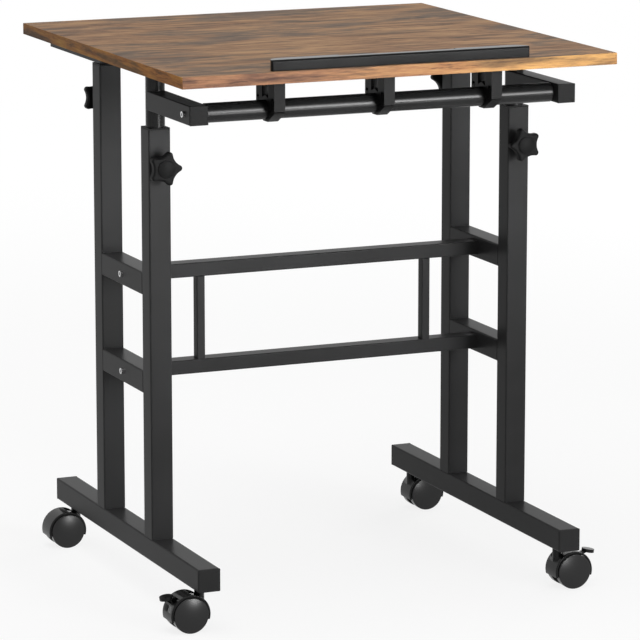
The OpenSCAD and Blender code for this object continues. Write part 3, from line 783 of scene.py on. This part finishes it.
@dataclass(frozen=True)
class Piece:
    """One visible piece, the body that it rides on and the fixed nodes that it stands for."""

    name: str
    body: str
    nodes: tuple[str, ...]
    slot: Slot
    finishes: tuple[Finish, ...] = ()
    smooth_turn: float = 38.0

    def put(
        self, bm: bmesh.types.BMesh, pick: Callable[[bmesh.types.BMFace], int] | None = None
    ) -> None:
        """Makes the object from a mesh in millimetres and hangs it on its body.

        Args:
            bm: The mesh, which is freed.
            pick: Gives the number of each face's finish.
        """
        bm.normal_update()
        if pick:
            for face in bm.faces:
                face.material_index = pick(face)
        bmesh.ops.scale(bm, vec=(MM, MM, MM), verts=bm.verts)
        mesh = bpy.data.meshes.new(self.name)
        bm.to_mesh(mesh)
        bm.free()
        for finish in self.finishes or (SLOT_FINISH[self.slot],):
            mesh.materials.append(material_of(finish))
        mesh.polygons.foreach_set("use_smooth", [True] * len(mesh.polygons))
        mesh.set_sharp_from_angle(angle=math.radians(self.smooth_turn))
        made = bpy.data.objects.new(self.name, mesh)
        bpy.context.scene.collection.objects.link(made)
        weighted = made.modifiers.new("flat_faces", "WEIGHTED_NORMAL")
        weighted.keep_sharp = True
        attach(made, self.body)
        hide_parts(*self.nodes)
        log.info("%s: %d faces on %s", self.name, len(mesh.polygons), self.body)


# The desk's sub-assemblies


@dataclass
class Frame:
    """The base: two side frames of square tube, joined by two cross bars with struts."""

    tube: float = 30.0
    wall: float = 1.5
    corner: float = 2.2
    foot_length: float = 540.0
    foot_low: float = 57.5
    foot_cap: float = 3.0
    foot_cap_rim: float = 1.3
    foot_plug: float = 10.0
    plug_gap: float = 0.2
    plug_rim: float = 1.0
    column_heights: tuple[float, float] = (543.0, 603.5)
    collar: float = 2.5
    bush_rim: float = 0.35
    bush_turn: float = 60.0
    bar_heights: tuple[float, float] = (206.0, 336.5)
    cross_size: tuple[float, float] = (25.0, 19.0)
    cross_rim: float = 1.8
    strut_size: tuple[float, float] = (11.5, 14.0)
    strut_rim: float = 1.5
    strut_gap: float = 328.0

    @property
    def foot_top(self) -> float:
        """The height of the feet's upper faces."""
        return self.foot_low + self.tube

    def build(self) -> None:
        """Builds every piece of the base."""
        for side in Side:
            self._side_frame(side)
            self._strut(side)
        self._foot_caps()
        self._cross_bars()
        Piece("cross_bar_bolt_heads", "base", ("cross_bar_bolts",), Slot.ZINC).put(
            from_node("cross_bar_bolts", BOLT_RIM)
        )
        Piece("column_mouth_bushes", "base", ("column_bushes",), Slot.MOULDED).put(
            from_node("column_bushes", self.bush_rim, self.bush_turn)
        )

    def _tube(self, axis: Axis, length: float, centre: Point) -> bmesh.types.BMesh:
        """A length of the frame's square tube.

        Args:
            axis: The axis that it lies along.
            length: Its length.
            centre: Its middle.

        Returns:
            The tube's mesh.
        """
        size = tuple(length if each is axis else self.tube for each in Axis)
        return square_tube(size, centre, axis, self.corner, self.wall)

    def _side_frame(self, side: Side) -> None:
        """Builds the foot, the columns and the bars between the columns of one side.

        Args:
            side: The side that they are on.
        """
        x = side.value * FRAME_X
        length = self.foot_length - 2 * self.foot_cap
        foot = self._tube(Axis.Y, length, (x, 0.0, self.foot_low + self.tube / 2))
        Piece(f"{side.word}_foot_tube", "base", (f"{side.word}_foot",), Slot.COAT).put(foot)
        for end, height in zip(End, self.column_heights):
            length = height - self.collar
            at = (x, end.value * COLUMN_Y, self.foot_top + length / 2)
            node = f"{end.word}_{side.word}_column"
            Piece(f"{node}_tube", "base", (node,), Slot.COAT).put(self._tube(Axis.Z, length, at))
        length = 2 * COLUMN_Y - self.tube
        bars = joined(
            self._tube(Axis.Y, length, (x, 0.0, self.foot_top + height))
            for height in self.bar_heights
        )
        node = f"{side.word}_side_bars"
        Piece(f"{side.word}_side_bar_tubes", "base", (node,), Slot.COAT).put(bars)

    def _foot_caps(self) -> None:
        """Builds the four end caps of the feet, each with its plug."""
        inner = self.tube - 2 * self.wall - self.plug_gap
        cap = (self.tube, self.foot_cap, self.tube)
        plug = (inner, self.foot_plug, inner)
        z = self.foot_low + self.tube / 2
        parts = []
        for side in Side:
            x = side.value * FRAME_X
            for end in End:
                y = end.value * (self.foot_length - self.foot_cap) / 2
                plug_y = y - end.value * self.foot_plug / 2
                parts.append(soft_box(cap, (x, y, z), self.foot_cap_rim, 4))
                parts.append(soft_box(plug, (x, plug_y, z), self.plug_rim))
        caps = Piece("foot_caps", "base", ("foot_end_caps",), Slot.MOULDED, (CAP,))
        caps.put(joined(parts))

    def _cross_bars(self) -> None:
        """Builds the two cross bars."""
        size = (2 * FRAME_X - self.tube, *self.cross_size)
        for word, height in zip(("lower", "upper"), self.bar_heights):
            bar = box_shape(size, (0.0, 0.0, self.foot_top + height))
            round_edges(bar, edges_along(bar, Axis.X), self.cross_rim, 5)
            node = f"{word}_cross_bar"
            Piece(f"{node}_tube", "base", (node,), Slot.COAT).put(bar)

    def _strut(self, side: Side) -> None:
        """Builds one upright strut between the cross bars, level with their backs.

        Args:
            side: The side that it is on.
        """
        wide, deep = self.strut_size
        low, high = self.bar_heights
        depth, tall = self.cross_size
        strut = box_shape(
            (wide, deep, high - low - tall),
            (side.value * self.strut_gap / 2, (deep - depth) / 2, self.foot_top + (low + high) / 2),
        )
        round_edges(strut, edges_along(strut, Axis.Z), self.strut_rim, 4)
        Piece(f"{side.word}_strut_tube", "base", (f"{side.word}_strut",), Slot.COAT).put(strut)


@dataclass
class Carriages:
    """The telescopic tubes, the arms on the front ones and the cross tube between the arms."""

    tube_radius: float = 12.5
    tube_wall: float = 1.5
    tube_rim: float = 0.3
    tube_low: float = 105.5
    tube_tops: tuple[float, float] = (695.5, 688.0)
    cap: float = 2.0
    cap_round: float = 1.0
    cap_step: float = 1.7
    cap_plug: float = 16.0
    arm: float = 25.0
    arm_corner: float = 1.8
    arm_wall: float = 1.5
    arm_reach: float = 154.0
    arm_cap: float = 2.0
    arm_cap_round: float = 0.8
    arm_plug: float = 8.0
    plug_gap: float = 0.2
    plug_round: float = 1.0
    pivot: tuple[float, float] = (-223.0, 665.0)
    cross_length: float = 483.0
    cross_radius: float = 12.5
    cross_rim: float = 0.5
    bolt_bore: float = 3.1
    washer: float = 2.0
    washer_radius: float = 10.0
    washer_rim: float = 0.4

    def build(self) -> None:
        """Builds every piece of the two carriages."""
        for side in Side:
            self._tubes_and_arm(side)
        self._tube_caps()
        self._arm_caps()
        self._cross_tube()

    def _tubes_and_arm(self, side: Side) -> None:
        """Builds the two telescopic tubes and the arm, which meets its tube at the tube's widest.

        Args:
            side: The side that they are on.
        """
        x = side.value * FRAME_X
        for end, top in zip(End, self.tube_tops):
            section = ring_section(
                self.tube_radius - self.tube_wall, self.tube_radius, 0.0, top - self.tube_low,
                self.tube_rim,
            )
            tube = turned(section, Axis.Z, (x, end.value * COLUMN_Y, self.tube_low))
            node = f"{side.word}_{end.word}_tube"
            Piece(f"{node}_round", f"{end.word}_carriage", (node,), Slot.TUBE).put(tube)
        length = self.arm_reach - self.arm_cap
        arm = square_tube(
            (self.arm, length, self.arm), (x, -COLUMN_Y - length / 2, self.pivot[1]),
            Axis.Y, self.arm_corner, self.arm_wall,
        )
        node = f"{side.word}_arm"
        Piece(f"{node}_tube", "front_carriage", (node,), Slot.COAT).put(arm)

    def _tube_caps(self) -> None:
        """Builds the caps in the front tubes' upper ends, each with its plug."""
        outer, plug = self.tube_radius, self.tube_radius - self.cap_step
        edge = outer - self.cap_round
        # The top falls by 0.1 towards the rounded edge, which is centred 0.8 above the tube
        section = [
            (0.0, self.cap), (edge - 2.0, self.cap - 0.1),
            *arc(self.cap_round, 80, 0, (edge, 0.8), 4),
            (outer, 0.0), (plug, 0.0), (plug, -self.cap_plug), (0.0, -self.cap_plug),
        ]
        caps = joined(
            turned(section, Axis.Z, (side.value * FRAME_X, -COLUMN_Y, self.tube_tops[0]))
            for side in Side
        )
        nodes = ("front_tube_caps",)
        Piece("front_tube_end_caps", "front_carriage", nodes, Slot.MOULDED).put(caps)

    def _arm_caps(self) -> None:
        """Builds the end caps of the arms, each with its plug."""
        inner = self.arm - 2 * self.arm_wall - self.plug_gap
        cap = (self.arm, self.arm_cap, self.arm)
        plug = (inner, self.arm_plug, inner)
        front = -COLUMN_Y - self.arm_reach
        cap_y = front + self.arm_cap / 2
        plug_y = front + (self.arm_cap + self.arm_plug) / 2
        z = self.pivot[1]
        parts = []
        for side in Side:
            x = side.value * FRAME_X
            parts.append(soft_box(cap, (x, cap_y, z), self.arm_cap_round))
            parts.append(soft_box(plug, (x, plug_y, z), self.plug_round))
        Piece("arm_caps", "front_carriage", ("arm_end_caps",), Slot.MOULDED).put(joined(parts))

    def _cross_tube(self) -> None:
        """Builds the cross tube, its washers and its bolts."""
        half = self.cross_length / 2
        section = ring_section(self.bolt_bore, self.cross_radius, -half, half, self.cross_rim)
        tube = turned(section, Axis.X, (0.0, *self.pivot))
        Piece("cross_tube_round", "front_carriage", ("front_cross_tube",), Slot.TUBE).put(tube)
        w = self.washer / 2
        ring = ring_section(self.bolt_bore, self.washer_radius, -w, w, self.washer_rim)
        washers = joined(
            turned(ring, Axis.X, (side.value * (half + w), *self.pivot)) for side in Side
        )
        nodes = ("cross_tube_washers",)
        Piece("cross_tube_side_washers", "front_carriage", nodes, Slot.MOULDED).put(washers)
        Piece("arm_bolt_heads", "front_carriage", ("cross_tube_bolts",), Slot.ZINC).put(
            from_node("cross_tube_bolts", BOLT_RIM)
        )


@dataclass
class Desktop:
    """The board with its book stop, saddles, clamp halves and slide rails."""

    size: Point = (600.0, 600.0, 15.0)
    low: float = 707.5
    corner: float = 1.2
    edge: float = 0.6
    stop_rim: float = 0.6
    fitting_rim: float = 0.4

    def build(self) -> None:
        """Builds every piece that tilts with the board."""
        self._board()
        Piece("book_stop_bar", "desktop", ("book_stop",), Slot.STOP).put(
            from_node("book_stop", self.stop_rim)
        )
        fittings = [
            *((f"{word}_saddle", "block", Slot.MOULDED) for word in ("left", "middle", "right")),
            ("saddle_clamps", "halves", Slot.MOULDED),
            *((f"{side.word}_slide_rail", "channel", Slot.COAT) for side in Side),
        ]
        for node, word, slot in fittings:
            name = f"{node.removesuffix('s')}_{word}"
            Piece(name, "desktop", (node,), slot).put(from_node(node, self.fitting_rim))

    def _board(self) -> None:
        """Builds the board, with one print on its top, others on its edges and painted shade on its
        underside.
        """
        board = box_shape(self.size, (0.0, 0.0, self.low + self.size[2] / 2))
        round_edges(board, edges_along(board, Axis.Z), self.corner, 4)
        rims = [
            e for e in board.edges
            if len(e.link_faces) == 2 and {abs(round(f.normal.z)) for f in e.link_faces} == {0, 1}
        ]
        round_edges(board, rims, self.edge, 3)

        def pick(face: bmesh.types.BMFace) -> int:
            """0 for the top, 1 for front and rear edge, 2 for the sides, 3 for the underside's
            painted shade.
            """
            if abs(face.normal.z) > 0.95:
                return 0 if face.normal.z > 0 else 3
            return 2 if abs(face.normal.x) > abs(face.normal.y) else 1

        # The underside's finish is painted shade, a near-black stand-in for the shadow under the
        # board
        prints = (BOARD_TOP, BOARD_FRONT, BOARD_SIDE, UNDERSIDE_SHADE)
        Piece("board_panel", "desktop", ("desktop_board",), Slot.BOARD, prints).put(board, pick)


KNOB_Z = {End.FRONT: 580.5, End.REAR: 641.0}


@dataclass
class ClampKnob:
    """A five-lobed clamp knob with a domed hub, a neck and a threaded stud.

    Its parts are drawn round Z, from the stud's end to the hub, with 0 at the neck's end.
    """

    side: Side
    end: End
    radius: float = 22.5
    waist: float = 16.25
    lobe: float = 4.0
    lobes: int = 5
    outline_steps: int = 150
    thick: float = 12.0
    rim: float = 3.0
    hub_radius: float = 11.75
    hub_rise: float = 3.5
    hub_wall: float = 1.5
    hub_rim: float = 0.4
    hub_sink: float = 2.0
    neck_radius: float = 7.0
    neck: float = 6.5
    neck_rim: float = 0.6
    neck_lead: float = 0.4
    back_y: float = 110.5
    stud_radius: float = 4.0
    stud: float = 7.6
    thread_depth: float = 0.6
    thread_pitch: float = 1.25

    def _reach(self, angle: float) -> float:
        """The outline's radius at an angle.

        Args:
            angle: The angle from a lobe's middle, in radians.

        Returns:
            The radius.
        """
        step = math.tau / self.lobes
        at = self.radius - self.lobe
        half = abs((angle + step / 2) % step - step / 2)
        side = at * math.cos(step / 2)
        hollow = (at * at + self.waist**2 - self.lobe**2 - 2 * self.waist * side) / (
            2 * (self.lobe + side - self.waist)
        )
        centre = self.waist + hollow
        turn = math.atan2(centre * math.sin(step / 2), centre * math.cos(step / 2) - at)
        join = math.atan2(self.lobe * math.sin(turn), at + self.lobe * math.cos(turn))
        if half <= join:
            return at * math.cos(half) + math.sqrt(self.lobe**2 - (at * math.sin(half)) ** 2)
        off = step / 2 - half
        return centre * math.cos(off) - math.sqrt(hollow**2 - (centre * math.sin(off)) ** 2)

    def _grip(self) -> bmesh.types.BMesh:
        """The lobed part.

        Returns:
            Its mesh.
        """
        bm = bmesh.new()
        outline = bmesh.ops.create_circle(
            bm, cap_ends=True, radius=1.0, segments=self.outline_steps
        )
        for v in outline["verts"]:
            reach = self._reach(math.atan2(v.co.y, v.co.x))
            v.co = Vector((v.co.x, v.co.y, 0.0)).normalized() * reach
            v.co.z = self.neck
        raised = bmesh.ops.extrude_face_region(bm, geom=bm.faces[:])["geom"]
        top = [v for v in raised if isinstance(v, bmesh.types.BMVert)]
        bmesh.ops.translate(bm, vec=(0.0, 0.0, self.thick), verts=top)
        bmesh.ops.recalc_face_normals(bm, faces=bm.faces)
        caps = [f for f in bm.faces if abs(f.normal.z) > 0.9]
        rims = {e for f in caps for e in f.edges}
        round_edges(bm, rims, self.rim, 6)
        return bm

    def _turned_parts(self) -> list[bmesh.types.BMesh]:
        """The hub's dome, the neck and the stud, each run a little way into the next.

        Returns:
            Their meshes.
        """
        front = self.neck + self.thick
        crown = self.hub_rise - self.hub_wall
        brow = self.hub_radius - self.hub_rim
        curve = (crown**2 + brow**2) / (2 * crown)
        edge = math.degrees(math.acos(brow / curve))
        dome = [
            (0.0, front - self.hub_sink), (self.hub_radius, front - self.hub_sink),
            (self.hub_radius, front + self.hub_wall - self.hub_rim),
            *arc(curve, edge, 90, (0.0, front + self.hub_rise - curve), 10),
        ]
        top = self.neck + 1.0
        neck = [
            (self.stud_radius, self.neck_lead), (self.neck_radius - self.neck_rim, 0.0),
            (self.neck_radius, self.neck_rim), (self.neck_radius, top), (self.stud_radius, top),
            (self.stud_radius, self.neck_lead),
        ]
        root = self.stud_radius - self.thread_depth
        stud = [(0.0, -self.stud), (root, -self.stud)]
        at = self.thread_depth - self.stud
        while at < 0.0:
            stud += [(self.stud_radius, at), (root, at + self.thread_pitch / 2)]
            at += self.thread_pitch
        stud += [(root, 2.0), (0.0, 2.0)]
        sections = ((dome, 72), (neck, 48), (stud, 32))
        return [turned(section, Axis.Z, ORIGIN, steps=steps) for section, steps in sections]

    def build(self) -> None:
        """Builds the knob and its stud."""
        whole = joined([self._grip(), *self._turned_parts()])
        out = self.end.value
        for degrees, axis in ((180.0, "Z"), (-90.0 * out, "X")):
            turn = Matrix.Rotation(math.radians(degrees), 3, axis)
            bmesh.ops.rotate(whole, cent=ORIGIN, matrix=turn, verts=whole.verts)
        if self.side is Side.LEFT:
            bmesh.ops.scale(whole, vec=(-1.0, 1.0, 1.0), verts=whole.verts)
            bmesh.ops.recalc_face_normals(whole, faces=whole.faces)
        place = (self.side.value * FRAME_X, out * self.back_y, KNOB_Z[self.end])
        bmesh.ops.translate(whole, vec=place, verts=whole.verts)
        name = f"{self.end.word}_{self.side.word}_knob"

        def pick(face: bmesh.types.BMFace) -> int:
            """1 for the stud behind the knob, 0 for the rest."""
            return int(abs(face.calc_center_median().y) < self.back_y - 0.05)

        Piece(f"{name}_moulding", name, (name,), Slot.KNOB, (KNOB, ZINC)).put(whole, pick)


@dataclass
class Caster:
    """A twin-wheel caster with its hood, wheels and, at the front, its brake lever."""

    side: Side
    end: End
    swivel_y: float = 233.5
    trail: float = 17.5
    wheel_radius: float = 23.5
    wheel_width: float = 11.0
    wheel_in: float = 7.6
    bore: float = 3.02
    hub_sink: float = 3.0
    dome: float = 2.0
    dome_gap: float = 0.6
    tread_round: float = 1.2
    hood_turn: float = 46.0
    lever_rim: float = 0.5

    def build(self) -> None:
        """Builds the caster's pieces."""
        name = f"{self.end.word}_{self.side.word}"
        node = f"{name}_hood"
        hood = Piece(
            f"{node}_shell", f"{name}_caster", (node,), Slot.HOOD, smooth_turn=self.hood_turn
        )
        hood.put(from_node(node))
        node = f"{name}_wheels"
        wheels = Piece(f"{name}_wheel_pair", f"{name}_wheelset", (node,), Slot.WHEEL)
        wheels.put(self._wheels())
        if self.end is End.FRONT:
            node = f"{self.side.word}_brake_lever"
            pedal = Piece(f"{node}_pedal", f"{self.side.word}_brake", (node,), Slot.HOOD)
            pedal.put(from_node(node, self.lever_rim))

    def _wheels(self) -> bmesh.types.BMesh:
        """The pair of wheels.

        Returns:
            Both wheels' mesh.
        """
        r, w, e = self.wheel_radius, self.wheel_width, self.tread_round
        face = r - e
        curve = (face * face + self.dome**2) / (2 * self.dome)
        low = math.degrees(math.acos((face - self.dome_gap) / curve))
        section = [
            (self.bore, 0.0), (face, 0.0), *arc(e, -90, 0, (face, e)),
            *arc(e, 0, 90, (face, w - e)), *arc(curve, low, 90, (0.0, w + self.dome - curve), 10),
            (0.0, w - self.hub_sink), (self.bore, w - self.hub_sink), (self.bore, 0.0),
        ]
        x = self.side.value * (FRAME_X + self.trail)
        y = self.end.value * self.swivel_y
        return joined(
            turned(section, Axis.Y, (x, y + out * self.wheel_in, r), flip=out < 0, steps=96)
            for out in (-1, 1)
        )


# The room


@dataclass(frozen=True)
class Lamp:
    """A soft square lamp; a spread under 180 degrees is a grid in front of it."""

    name: str
    place: Point
    size: float
    power: float
    aim: Point = (0.0, 0.0, 0.4)
    spread: float = 180.0

    def hang(self) -> None:
        """Makes the lamp and turns it to its aim."""
        data = bpy.data.lights.new(self.name, "AREA")
        data.shape = "SQUARE"
        data.size = self.size
        data.energy = self.power
        data.spread = math.radians(self.spread)
        lamp = bpy.data.objects.new(self.name, data)
        lamp.location = self.place
        towards = Vector(self.aim) - Vector(self.place)
        lamp.rotation_euler = towards.to_track_quat("-Z", "Y").to_euler()
        bpy.context.scene.collection.objects.link(lamp)


@dataclass
class Studio:
    """The floor, the white surround, the lamps and the camera.

    The floor glows by floor_share near the desk, where it keeps the shadow, and by itself beyond
    floor_fade, where it has to meet the surround without a step.
    """

    camera_place: Point = (-1.98882, -4.6514, 1.35888)
    camera_yaw: float = 23.283
    camera_pitch: float = 11.384
    lens: float = 215.76
    sensor: float = 36.0
    far_clip: float = 200.0
    floor_size: float = 60.0
    floor_paint: float = 0.55
    floor_fade: tuple[float, float] = (1.2, 4.5)
    floor_glow: float = 1.28
    floor_share: float = 0.65
    surround: float = 0.36
    lamps: tuple[Lamp, ...] = (
        Lamp("key_lamp", (1.7, -3.8, 2.7), 1.8, 22.0),
        Lamp("top_lamp", (-0.6, -0.6, 3.6), 2.4, 38.0),
        Lamp("back_lamp", (3.4, 2.4, 1.9), 1.6, 24.0),
        Lamp("low_lamp", (0.8, -2.0, 0.95), 0.7, 4.2, (-0.1, 0.0, 0.9), 46.0),
        Lamp("floor_lamp", (0.6, -2.2, 0.16), 0.3, 10.0, (-0.1, -0.2, 0.05)),
    )

    def build(self) -> None:
        """Builds the room."""
        self._camera()
        self._floor()
        self._surround()
        for lamp in self.lamps:
            lamp.hang()

    def _camera(self) -> None:
        """Puts the camera where the fit to the photograph has it."""
        data = bpy.data.cameras.new("camera")
        data.lens = self.lens
        data.sensor_width = self.sensor
        data.clip_end = self.far_clip
        camera = bpy.data.objects.new("camera", data)
        camera.location = self.camera_place
        turn = (90.0 - self.camera_pitch, 0.0, -self.camera_yaw)
        camera.rotation_euler = [math.radians(degrees) for degrees in turn]
        bpy.context.scene.collection.objects.link(camera)
        bpy.context.scene.camera = camera

    def _floor(self) -> None:
        """Lays a pale floor that is near white to the camera and keeps the shadow."""
        bm = bmesh.new()
        bmesh.ops.create_grid(bm, x_segments=1, y_segments=1, size=self.floor_size / 2)
        mesh = bpy.data.meshes.new("studio_floor")
        bm.to_mesh(mesh)
        bm.free()
        shade = Shade(bpy.data.materials.new("floor_white"))
        reach = shade.node("ShaderNodeVectorMath", {"operation": "LENGTH"}, {0: shade.place()})
        away = shade.step(Term(shade, reach.outputs["Value"]), *self.floor_fade)
        paint = shade.node("ShaderNodeBsdfDiffuse", inputs={"Color": (self.floor_paint,) * 3})
        # Far from the desk the glow's colour times its strength is 1, the surround's white
        white = shade.mix(away, (1.0, 1.0, 1.0), (1.0 / self.floor_glow,) * 3)
        inputs = {"Color": white, "Strength": self.floor_glow}
        glow = shade.node("ShaderNodeEmission", inputs=inputs)
        share = away * (1.0 - self.floor_share) + self.floor_share
        inputs = {0: shade.seen() * share, 1: paint.outputs[0], 2: glow.outputs[0]}
        both = shade.node("ShaderNodeMixShader", inputs=inputs)
        shade.node("ShaderNodeOutputMaterial", inputs={"Surface": both.outputs[0]})
        mesh.materials.append(shade.owner)
        floor = bpy.data.objects.new("studio_floor", mesh)
        bpy.context.scene.collection.objects.link(floor)

    def _surround(self) -> None:
        """Lights the room evenly, and shows it white to the camera and in reflections."""
        shade = Shade(bpy.data.worlds.new("surround"))
        strength = shade.seen() * (1.0 - self.surround) + self.surround
        inputs = {"Color": (1.0, 1.0, 1.0), "Strength": strength}
        back = shade.node("ShaderNodeBackground", inputs=inputs)
        shade.node("ShaderNodeOutputWorld", inputs={"Surface": back.outputs[0]})
        bpy.context.scene.world = shade.owner


def dress_nodes() -> None:
    """Gives every fixed node the finish of its slot in the record."""
    slots = {s["node"]: Slot(s["material_slot"]) for s in frame["record"]["subparts"]}
    for name, node in frame["nodes"].items():
        node.data.materials.clear()
        node.data.materials.append(material_of(SLOT_FINISH[slots[name]]))


def main() -> None:
    """Builds the room and the desk."""
    logging.basicConfig(level=logging.INFO, format="%(name)s %(message)s")
    bpy.context.scene.view_settings.view_transform = "Standard"
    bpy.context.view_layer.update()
    Studio().build()
    dress_nodes()
    Frame().build()
    Carriages().build()
    Desktop().build()
    for side in Side:
        for end in End:
            ClampKnob(side, end).build()
        for end in End:
            Caster(side, end).build()


if __name__ == "__main__":
    main()
